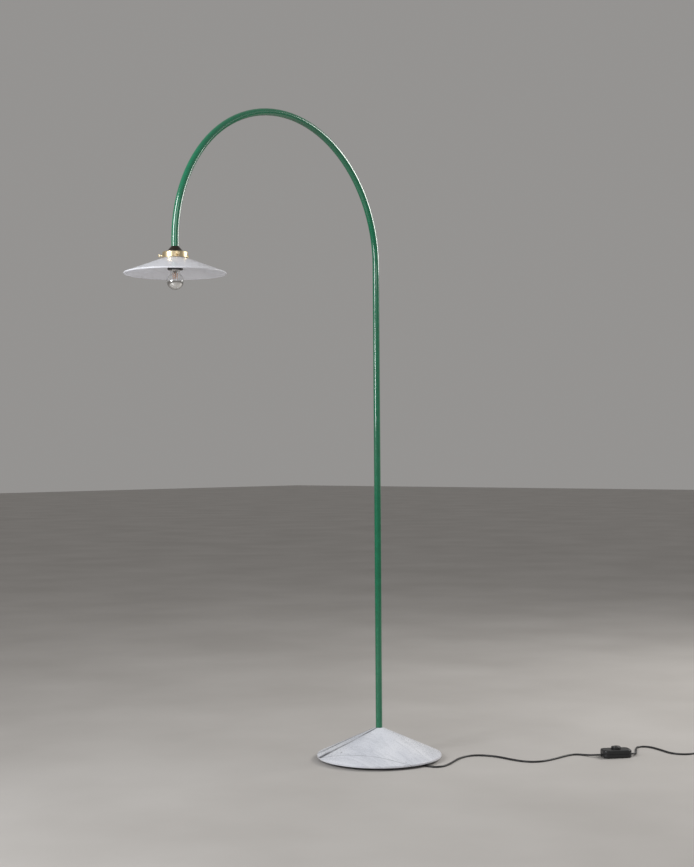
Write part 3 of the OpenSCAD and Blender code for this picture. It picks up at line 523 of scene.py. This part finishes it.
# %% Plastics
moulded = (
    ("switch_plastic", (0.011, 0.011, 0.012), 0.36, 1500.0, 0.00003),
    ("black_pvc", (0.013, 0.013, 0.014), 0.42, 240.0, 0.00003),
    ("phenolic", (0.017, 0.012, 0.010), 0.30, 800.0, 0.00001),
    ("ceramic", (0.72, 0.70, 0.64), 0.30, 400.0, 0.00002),
    ("acetal", (0.68, 0.66, 0.60), 0.40, 500.0, 0.00001),
    ("felt", (0.022, 0.022, 0.022), 0.95, 1200.0, 0.0003),
)
for name, tone, gloss, grain, depth in moulded:
    plastic = Finish(name, Roughness=gloss)
    lumps = plastic.noise(grain, detail=3.0)
    paler = tuple(min(1.0, 1.25 * c) for c in tone)
    plastic.colour(plastic.ramp(lumps, (0.3, tone), (0.7, paler)))
    plastic.roughness(plastic.ramp(lumps, (0.3, 0.9 * gloss), (0.7, min(1.0, 1.1 * gloss))))
    plastic.bump(lumps, depth)
    finishes[name] = plastic.material
print("finishes:", len(finishes))

# %% [markdown]
# ## Dress the CAD parts
# The record says which slot each node belongs to. Every node gets its finish from there, and the ones
# that a finer piece stands for are hidden later by `add_piece`.

# %% Finish every CAD node
for part in frame["record"]["subparts"]:
    node = frame["nodes"][part["node"]]
    node.data.materials.clear()
    node.data.materials.append(finishes[part["material_slot"]])
print("dressed", len(frame["nodes"]), "nodes")

# %% [markdown]
# ## The lead
# A round lead 5.6 mm thick leaves the base at one side of its rim, wanders over the floor to the foot
# switch and on to the plug. It is stiff enough to lie in long easy bends and to rise off the floor into
# the switch and the plug. The route is given as points that the lead passes through, and a spline joins
# them. The spare length is wound into a small coil of about five turns: it winds inwards through three
# rings on the floor, climbs on to the inner one and winds back outwards on a second layer.

# %% Route of the lead
lead_r = 2.8
ground = lead_r
route_to_switch = [
    [0, -188.3, 3.6], [1, -200, 3], [10, -216, ground], [27, -223, ground], [48, -221, ground],
    [73, -214, ground], [109, -201, ground], [148, -189, ground], [177, -186, ground],
    [203, -191, ground], [223, -207, ground], [235, -231, ground], [240, -260, ground],
    [238, -292, ground], [235, -324, ground], [237, -355, ground], [248, -382, ground],
    [269, -397, ground], [298, -404, ground], [330, -406, ground], [370, -406, ground],
    [402, -408, ground], [422, -417, ground], [431, -436, 3], [432.5, -455, 4.2],
    [436.3, -474.5, 6.4], [445.3, -492.9, 8],
]
route_to_coil = [
    [514.7, -547.1, 8], [521.8, -551, 7.4], [529.8, -552.6, 6.6], [537.9, -551.6, 5.6],
    [545.5, -548.2, 4.6], [560.5, -538.9, 3.3], [580, -527, ground], [603, -513, ground],
    [624.5, -500.8, ground], [636.1, -497, ground], [647.3, -498.2, ground],
    [656.8, -504.2, ground], [662.8, -513.9, ground], [664, -526, ground], [660.5, -541, ground],
    [652, -562, ground], [640, -588, ground], [629, -612, ground], [626, -637, ground],
    [633, -656, ground], [648, -669, ground], [670, -677, ground], [697, -684, ground],
]
route_to_plug = [
    [734, -691, 8.2], [750, -695, 6.6], [763, -704, 5.4], [773, -716, 5.8],
    [776, -724, 7], [776, -730, 7],
]
coil_spot = (716.0, -727.0)


def stepped(s, *stops):
    """A value that holds each level and passes to the next on half a cosine wave between two angles.
    Stops are (angle where the change starts, angle where it ends, the new value)."""
    value = np.full_like(s, stops[0][2])
    for begins, ends, level in stops[1:]:
        share = np.clip((s - begins) / (ends - begins), 0, 1)
        value = value + (level - value) * (1 - np.cos(np.pi * share)) / 2
    return value


coil_turns = np.arange(0, 1790, 20.0)
coil_r = stepped(coil_turns, (0, 0, 37.0), (240, 360, 31.2), (600, 720, 25.4),
                 (1080, 1200, 31.2), (1440, 1560, 37.0))
coil_z = stepped(coil_turns, (0, 0, lead_r), (840, 960, 3 * lead_r))
bearing = np.radians(79.0 - coil_turns)
coil_line = np.column_stack([
    coil_spot[0] + coil_r * np.cos(bearing), coil_spot[1] + coil_r * np.sin(bearing), coil_z,
])
to_switch = smooth_line(route_to_switch, 2.0)
to_plug = smooth_line(np.vstack([route_to_coil, coil_line, route_to_plug]), 2.0)
print(f"lead: {line_length(to_switch):.0f} mm to the switch and {line_length(to_plug):.0f} mm to the plug")

# %% Sweep the lead
lead_to_switch = add_piece("lead_to_switch", sweep(to_switch, lead_r), finishes["black_pvc"],
                           "base", ["cord_to_switch"])
lead_to_plug = add_piece("lead_to_plug", sweep(to_plug, lead_r), finishes["black_pvc"],
                         "base", ["cord_to_coil", "cord_coil", "cord_tail"])

# %% [markdown]
# ## The glass shade
# A shallow cone of opal glass, blown into a turned mould, so it is a lathe shape. Its rim is thickened
# to a round bead, which catches a bright line of light all the way round, and its neck stands up into
# the gallery, with a groove for the three screws. The profile goes up the outside and down the inside.

# %% Shade
shade_low, shade_high = span("glass_shade")
gallery_low, gallery_high = span("gallery_ring")
shade_r = (shade_high[0] - shade_low[0]) / 2
rim_z, neck_top = shade_low[2], shade_high[2]
gallery_z, gallery_top = gallery_low[2], gallery_high[2]
neck_r = 31.0
bead = 2.2
rim_bead = arc(shade_r - bead, rim_z + bead, bead, -150, 69, 20)
shade_outline = rounded([
    *np.column_stack([rim_bead, np.zeros(len(rim_bead))]),
    (neck_r, gallery_z, 1.0), (neck_r - 1.5, gallery_z + 3, 0.4), (neck_r - 1.5, gallery_z + 9.3, 0.4),
    (neck_r, gallery_z + 9.8, 0.4), (neck_r, neck_top, 0.8), (neck_r - 4.5, neck_top, 0.8),
    (neck_r - 4.5, gallery_z, 3.0), (neck_r - 1, gallery_z - 4.2, 3.0),
])
add_piece("opal_shade", lathe(shade_outline, head, 192), finishes["opal_glass"],
          "arm", ["glass_shade"])

# %% [markdown]
# ## The brass gallery and its cap
# The gallery is a spun brass cup: a round shoulder, a plain wall and a small rolled lip at its foot.
# Over it sits a dark bell that covers the nut, and the tube ends in the bell. Three knurled screws hold
# the glass. A knurl is a straight ridge, so it is a ripple of the radius that only the head has.

# %% Gallery, cap and screws
wall_r = (gallery_high[0] - gallery_low[0]) / 2 - 1.0
entry_r = 5.05
gallery = lathe(rounded([
    (entry_r, gallery_top - 2, 0), (wall_r - 2, gallery_top - 2, 0.8), (wall_r - 2, gallery_z, 0.2),
    (wall_r + 1, gallery_z, 0.4), (wall_r + 1, gallery_z + 1.5, 0.5), (wall_r, gallery_z + 2.2, 0.6),
    (wall_r, gallery_top, 2.4), (entry_r, gallery_top, 0),
]), head, 192)
add_piece("gallery_cup", gallery, finishes["brass"], "arm", ["gallery_ring"])

cap_low, cap_high = span("holder_cap")
foot_r = (cap_high[0] - cap_low[0]) / 2
foot, crown = cap_low[2], cap_high[2]
bell = lathe(rounded([
    (foot_r - 1.2, foot, 0.2), (foot_r, foot, 0.3), (foot_r, foot + 1.9, 0.8), (18.8, foot + 4.4, 6.0),
    (13.8, foot + 10.8, 8.0), (11.0, foot + 13.9, 1.5), (tube_r + 0.3, crown, 0.4), (entry_r, crown, 0),
    (entry_r, crown - 2.4, 0), (9.0, crown - 2.4, 2.0), (12.5, foot + 9.6, 6.0), (17.4, foot + 3.2, 6.0),
    (foot_r - 1.2, foot + 1.2, 0.4),
]), head, 128)
add_piece("cap_bell", bell, finishes["dark_bronze"], "arm", ["holder_cap"])

knurl_from, knurl_to = 41.2, 45.1
knurl_depth, knurl_count = 0.35, 16


def knurl(r, z, t):
    """Straight ridges round the screw's head, half a cosine wave deep, fading out at its two edges."""
    along = np.clip((z - knurl_from) / 0.4, 0, 1) * np.clip((knurl_to - z) / 0.4, 0, 1)
    return knurl_depth / 2 * (1 - np.cos(knurl_count * t)) * along * (r > 3.2)


screw_profile = rounded([
    (0, 29.8, 0), (1.2, 29.8, 0.3), (1.5, 30.4, 0.3), (1.5, 40.7, 0.2), (2.4, 41.0, 0.2),
    (3.5, 41.0, 0.35), (3.5, 45.5, 0.6), (0, 45.5, 0),
])
for k in range(3):
    low, high = span(f"gallery_screw_{k + 1}")
    outward = (np.cos(np.radians(120 * k)), np.sin(np.radians(120 * k)), 0.0)
    turned = placed(lathe(screw_profile, steps=96, ribs=knurl), (*head, (low[2] + high[2]) / 2), outward)
    add_piece(f"knurled_screw_{k + 1}", turned, finishes["brass"],
              f"screw_{k + 1}", [f"gallery_screw_{k + 1}"])

# %% [markdown]
# ## Inside the bulb
# Four LED sticks stand round a glass stem. Each is a round strip with a metal cap at both ends, and a
# thin support wire leads from the stem to its lower cap. They are one piece with the finish of the
# phosphor, and the wires are so thin that they only show as fine lines.

# %% Filaments
stick_z = span("filaments")[0][2]
stick_length, stick_r, stick_cap_r = 26.0, 0.8, 0.55
stick_ring = 4.2
stick_lean = np.tan(np.radians(4.0))
support_up, support_out, support_r = 17.2, 2.6, 0.2
support_share = 0.62
sticks = []
for turn in np.radians([45.0, 135.0, 225.0, 315.0]):
    outward = np.array([np.cos(turn), np.sin(turn), 0.0])
    foot_point = np.array([*head, stick_z]) + stick_ring * outward
    lean = np.array([0, 0, 1.0]) + stick_lean * outward
    sticks.append(placed(lathe(rounded([
        (0, 0, 0), (stick_cap_r, 0, 0.15), (stick_cap_r, 1.6, 0.1), (stick_r, 1.7, 0.1),
        (stick_r, stick_length - 1.7, 0.1), (stick_cap_r, stick_length - 1.6, 0.1),
        (stick_cap_r, stick_length, 0.15), (0, stick_length, 0),
    ]), steps=24), foot_point, lean))
    wire_from = np.array([*head, stick_z + support_up]) + support_out * outward
    wire_to = foot_point + support_share * stick_length * lean / np.linalg.norm(lean)
    sticks.append(sweep(spaced(np.array([wire_from, wire_to]), 0.4), support_r, sides=8))
add_piece("led_sticks", joined(*sticks), finishes["filament"], "arm", ["filaments"])

# %% [markdown]
# ## The foot switch
# The case is two mouldings with round corners, and the upper one closes in at the top with a soft
# shoulder. `plan` gives its outline at any inset, always with the same number of columns, so that any
# two outlines can be joined. The upper shell runs from its lower edge up over the shoulder and in to the
# round hole, where the columns pass from the outline to a circle, then back along the inside.

# %% Switch case
case_top = span("switch_upper")[1][2]
button_low, button_high = span("switch_button")
switch_spot = (button_low + button_high)[:2] / 2
switch_turn = np.radians(-38.0)
half_l, half_w, corner_r = 44.0, 25.0, 14.0
shoulder_in, shoulder_down = 4.2, 6.0
hole_r = 14.4


def plan_columns():
    """For every column, the centre that its point turns about and the way that it faces: ten columns
    round each corner and eight along each straight side."""
    centres, normals = [], []
    signs = [(1, 1), (-1, 1), (-1, -1), (1, -1)]
    for k, (sx, sy) in enumerate(signs):
        here = np.array([sx * (half_l - corner_r), sy * (half_w - corner_r)])
        nx, ny = signs[(k + 1) % 4]
        there = np.array([nx * (half_l - corner_r), ny * (half_w - corner_r)])
        a = np.radians(np.linspace(90 * k, 90 * k + 90, 10))
        turned = np.column_stack([np.cos(a), np.sin(a)])
        centres += [np.tile(here, (10, 1)), here + (there - here) * np.linspace(0.06, 0.94, 8)[:, None]]
        normals += [turned, np.tile(turned[-1], (8, 1))]
    return np.vstack(centres), np.vstack(normals)


column_centres, column_normals = plan_columns()


def case_row(inset, z, hole=0.0):
    """One row of the case: its outline `inset` millimetres in, passed towards the button's hole by the
    share `hole`, at height z, in the switch's own frame."""
    outline = column_centres + (corner_r - inset) * column_normals
    circle = hole_r * outline / np.linalg.norm(outline, axis=1)[:, None]
    flat = outline * (1 - hole) + circle * hole
    return np.column_stack([flat, np.full(len(flat), z)])


def in_place(points):
    """Points of the switch's own frame, turned and moved to its place on the floor."""
    c, s = np.cos(switch_turn), np.sin(switch_turn)
    turned = points @ np.array([[c, s, 0], [-s, c, 0], [0, 0, 1.0]])
    return turned + np.array([*switch_spot, 0.0])


columns = len(column_centres)
shoulder = [case_row(shoulder_in * (1 - np.cos(a)), case_top - shoulder_down * (1 - np.sin(a)))
            for a in np.radians(np.linspace(0, 90, 10))]
upper_rows = [
    case_row(2.0, 12.3), case_row(1.8, 12.15), case_row(0.7, 12.15), case_row(0.35, 12.3), case_row(0, 12.8),
    case_row(0, 13.2), case_row(0, case_top - shoulder_down - 0.3), *shoulder,
    *[case_row(shoulder_in + 0.4, case_top, share) for share in (0.02, 0.3, 0.6, 0.85, 0.96)],
    case_row(4.6, case_top - 0.05, 0.98), case_row(4.6, case_top - 0.3, 1.0),
    case_row(4.6, case_top - 0.6, 1.0), case_row(4.6, case_top - 1.9, 1.0),
    case_row(4.6, case_top - 2.0, 0.97), *[case_row(6.6, case_top - 2.0, share) for share in (0.6, 0.1)],
    case_row(2.6, case_top - 5.0), case_row(2.0, case_top - 7.0),
]
upper = (in_place(np.vstack(upper_rows)), grid_faces(len(upper_rows), columns, loop_rows=True).tolist())
add_piece("switch_cover", upper, finishes["switch_plastic"], "base", ["switch_upper"])

tray_z = span("switch_lower")[0][2]
tray_rows = [
    case_row(9.0, tray_z), case_row(2.2, tray_z), case_row(1.2, tray_z + 0.15), case_row(0.35, tray_z + 0.7),
    case_row(0, tray_z + 1.6), case_row(0, tray_z + 2.0), case_row(0, 11.3), case_row(0.1, 11.6),
    case_row(0.5, 11.95), case_row(0.9, 12.0), case_row(1.8, 12.0), case_row(2.0, 11.8),
    case_row(2.0, tray_z + 2.4), case_row(2.4, tray_z + 2.0), case_row(9.0, tray_z + 2.0),
]
tray = close_ends(in_place(np.vstack(tray_rows)), len(tray_rows), columns,
                  [*switch_spot, tray_z], [*switch_spot, tray_z + 2.0])
add_piece("switch_tray", tray, finishes["switch_plastic"], "base", ["switch_lower"])

# %% [markdown]
# ## The push button
# A plain round button with an edge rounded for the foot, a slightly dished top and three fine grip rings.
# Below the cover it widens to a flange that stops it, and ends in a sleeve round its spring.

# %% Button
button_top = button_high[2]
ring_section = ((0.45, 0.0), (0.15, 0.25), (-0.15, 0.25), (-0.45, 0.0))
rings = [(r + shift, button_top - 0.75 + lift, 0.12)
         for r in (9.0, 7.0, 5.0) for shift, lift in ring_section]
button = lathe(rounded([
    (0, button_top - 4, 0), (6.5, button_top - 4, 0.3), (6.5, button_low[2], 0.3), (9, button_low[2], 0.3),
    (9, case_top - 4.3, 0.3), (16.5, case_top - 4.3, 0.3), (16.5, case_top - 2.3, 0.3),
    (14, case_top - 2.3, 0.3), (14, button_top, 2.4), (11, button_top - 0.1, 1.0),
    (10.2, button_top - 0.75, 0.8), *rings, (0, button_top - 0.8, 0),
]), switch_spot, 128)
add_piece("foot_button", button, finishes["switch_plastic"], "button", ["switch_button"])

# %% [markdown]
# ## The button's spring
# A coil spring of five turns stands between the case's floor and the button. It can't slide with the
# button, because its foot stays still, so it rides on the base with a mesh of its own.

# %% Spring
spring_low, spring_high = span("button_spring")
wire_r, spring_r, spring_turns = 0.5, 5.0, 5
turns = np.linspace(0, spring_turns, 241)
coil = np.column_stack([
    switch_spot[0] + spring_r * np.cos(2 * np.pi * turns),
    switch_spot[1] + spring_r * np.sin(2 * np.pi * turns),
    spring_low[2] + wire_r + (spring_high[2] - spring_low[2] - 2 * wire_r) * turns / spring_turns,
])
spring = add_piece("spring", sweep(coil, wire_r, sides=12), finishes["steel"], "base",
                   ["button_spring"])
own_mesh(spring)

# %% [markdown]
# ## Strain reliefs, plug and tie
# Where a lead enters the base or the plug it wears a rubber sleeve that thins towards the free end. Rings
# cut into the sleeve let it bend. The plug is a flat moulding, made of outlines joined along its length,
# with a waist for the fingers. Its exact form isn't known, so it stays generic.

# %% Base relief
def segmented(low, high, count, depth):
    """A function for `lathe` that cuts rings into a sleeve between two places along it."""
    def ribs(r, z, t):
        """Depth of the rings, each a full cosine wave, where the sleeve is clear of the lead."""
        inside = (z > low) & (z < high) & (r > lead_r + 0.3)
        wave = (1 - np.cos(2 * np.pi * count * (z - low) / (high - low))) / 2
        return np.where(inside, depth * wave, 0) + 0 * t

    return ribs


def sleeve_outline(length, rows, flare, root):
    """A sleeve's outline from its thin end: the radius grows evenly by `flare` over the length at the
    given rows, passes through the root's points and comes back on the lead."""
    slim = [(lead_r + 0.05, 0.2), (3.1, 0.0), (3.3, 0.2)]
    return [*slim, *[(3.4 + flare * z / length, z) for z in rows], *root, (lead_r + 0.05, length)]


relief_low, relief_high = span("base_relief")
slope = np.radians(5.0)
sleeve_length = (relief_high[1] - relief_low[1]) / np.cos(slope) - 0.3
sleeve_rows = np.linspace(0.9, sleeve_length - 1.0, 90)
sleeve = sleeve_outline(sleeve_length, sleeve_rows, 1.15, [(4.5, sleeve_length - 0.2), (4.3, sleeve_length)])
relief = placed(lathe(sleeve, steps=64, ribs=segmented(2.0, sleeve_length - 12.0, 7, 0.5)),
                np.array(route_to_switch[0]), (0, np.cos(slope), np.sin(slope)))
add_piece("base_sleeve", relief, finishes["black_pvc"], "base", ["base_relief"])

# %% Plug and its sleeve
plug_low, plug_high = span("plug_body")
sleeve_low, sleeve_high = span("plug_relief")
plug_x, plug_z = (plug_low[0] + plug_high[0]) / 2, (plug_low[2] + plug_high[2]) / 2
plug_w, plug_h = (plug_high[0] - plug_low[0]) / 2, (plug_high[2] - plug_low[2]) / 2
sleeve_length = sleeve_high[1] - sleeve_low[1]
sleeve_rows = np.linspace(0.9, sleeve_length - 0.4, 70)
sleeve = sleeve_outline(sleeve_length, sleeve_rows, 1.6, [(4.8, sleeve_length)])
relief = placed(lathe(sleeve, steps=64, ribs=segmented(2.0, sleeve_length - 3.0, 6, 0.5)),
                (plug_x, sleeve_high[1], plug_z), (0, -1, 0))
add_piece("plug_sleeve", relief, finishes["black_pvc"], "base", ["plug_relief"])

plug_length = plug_high[1] - plug_low[1]
share = np.array([0.0, 0.01, 0.03, 0.08, *np.linspace(0.14, 0.86, 19), 0.92, 0.97, 0.99, 1.0])
end_reach, waist_at, waist_reach, ridge_pitch = 0.012, 0.52, 0.20, 0.08
round_off = 1 - 0.10 * np.exp(-share / end_reach) - 0.06 * np.exp(-(1 - share) / end_reach)
waist = 1 - 0.13 * np.exp(-(((share - waist_at) / waist_reach) ** 2))
gripped = np.abs(share - waist_at) < waist_reach
ridges = 0.025 * gripped * np.cos(2 * np.pi * (share - waist_at) / ridge_pitch)
around = np.linspace(0, 2 * np.pi, 72, endpoint=False)
oval_x = np.sign(np.cos(around)) * np.abs(np.cos(around)) ** 0.62
oval_z = np.sign(np.sin(around)) * np.abs(np.sin(around)) ** 0.80
body_points = np.stack([
    plug_x + plug_w * (round_off * (waist + ridges))[:, None] * oval_x,
    plug_high[1] - plug_length * share[:, None] + 0 * oval_x,
    plug_z + plug_h * round_off[:, None] * oval_z,
], axis=-1).reshape(-1, 3)
plug = close_ends(body_points, len(share), len(around), [plug_x, plug_high[1], plug_z],
                  [plug_x, plug_low[1], plug_z])
add_piece("plug_moulding", plug, finishes["switch_plastic"], "base", ["plug_body"])

# %% [markdown]
# ## The tie round the coil
# A flat strap goes round all the turns of the coil at one place and keeps them together. It is a band of
# rounded outline, carried along the lead's direction for its width.

# %% Tie
tie_turn = np.radians(200.0)
out_way = np.array([np.cos(tie_turn), np.sin(tie_turn), 0.0])
along_way = np.array([-np.sin(tie_turn), np.cos(tie_turn), 0.0])
tie_high = span("coil_tie")[1][2]
strap_t, strap_half = 0.8, 4.0
strap_inner, strap_outer = 20.7, 41.3


def strap_row(inset, along):
    """The strap's outline round the coil's turns, `inset` inside its outer face, at a place along it."""
    low, high, top = strap_inner + inset, strap_outer - inset, tie_high - inset
    flat = rounded([(low, 0.02 * inset, 0.3), (high, 0.02 * inset, 0.3), (high, top, 2.6 - inset),
                    (low, top, 2.6 - inset)], steps=8)
    up = np.array([0, 0, 1.0])
    return np.array([*coil_spot, 0.0]) + flat[:, :1] * out_way + flat[:, 1:] * up + along * along_way


section = [(0.2, -strap_half), (0.0, 0.2 - strap_half), (0.0, strap_half - 0.2), (0.2, strap_half),
           (strap_t - 0.2, strap_half), (strap_t, strap_half - 0.2), (strap_t, 0.2 - strap_half),
           (strap_t - 0.2, -strap_half)]
strap = [strap_row(inset, along) for inset, along in section]
tie = (np.vstack(strap), grid_faces(len(strap), len(strap[0]), loop_rows=True).tolist())
add_piece("coil_strap", tie, finishes["black_pvc"], "base", ["coil_tie"])

# %% [markdown]
# ## The room
# A lamp like this is best seen on a plain floor, with soft light from large panels. The main one stands
# at the back on the right, so the base throws its shadow forwards and to the left. A cooler one on the
# left is a window: it draws the bright line down the tube.

# %% Floor and light
def add_plain(name, points, finish):
    """A flat sheet through the given corners that belongs to the room."""
    mesh = bpy.data.meshes.new(name)
    mesh.from_pydata(points, [], [list(range(len(points)))])
    mesh.materials.append(finish)
    sheet = bpy.data.objects.new(name, mesh)
    bpy.context.scene.collection.objects.link(sheet)
    sheet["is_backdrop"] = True


floor = Finish("floor", Roughness=0.55)
floor.colour(floor.ramp(floor.noise(1.5, detail=6.0), (0.35, (0.43, 0.41, 0.39)), (0.7, (0.50, 0.48, 0.46))))
half = 30.0
add_plain("floor", [(-half, -half, 0), (half, -half, 0), (half, half, 0), (-half, half, 0)], floor.material)


def add_softbox(name, bearing, height, distance, size, power, tone, target=(0.0, 0.0, 0.9)):
    """A rectangular lamp at a compass bearing round the pole, turned to face the target."""
    data = bpy.data.lights.new(name, "AREA")
    data.shape = "RECTANGLE"
    data.size, data.size_y = size
    data.energy = power
    data.color = tone
    lamp = bpy.data.objects.new(name, data)
    at = Vector((distance * np.cos(np.radians(bearing)), distance * np.sin(np.radians(bearing)), height))
    lamp.location = at
    lamp.rotation_euler = (Vector(target) - at).to_track_quat("-Z", "Y").to_euler()
    bpy.context.scene.collection.objects.link(lamp)


add_softbox("key", -28.0, 2.5, 3.1, (1.6, 1.6), 88.0, (1.0, 0.985, 0.96), target=(0.2, -0.2, 0.0))
add_softbox("window", 176.0, 2.1, 3.2, (0.8, 2.2), 84.0, (0.96, 0.98, 1.0), target=(-0.6, 0.0, 1.2))
add_softbox("front", 232.0, 3.0, 5.5, (3.0, 2.0), 36.0, (1.0, 1.0, 1.0))
world = bpy.data.worlds.new("world")
world.use_nodes = True
world.node_tree.nodes["Background"].inputs["Color"].default_value = (0.60, 0.585, 0.57, 1.0)
world.node_tree.nodes["Background"].inputs["Strength"].default_value = 0.50
bpy.context.scene.world = world
bpy.context.scene.view_settings.view_transform = "Standard"
print("room: floor, three soft boxes and a grey sky")

# %% Declare
line_length(to_switch) * MM
line_length(to_plug) * MM

# %% Keep the sizes and finish
{"cad": cad_box, "visual": [list(corner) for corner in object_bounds()]}
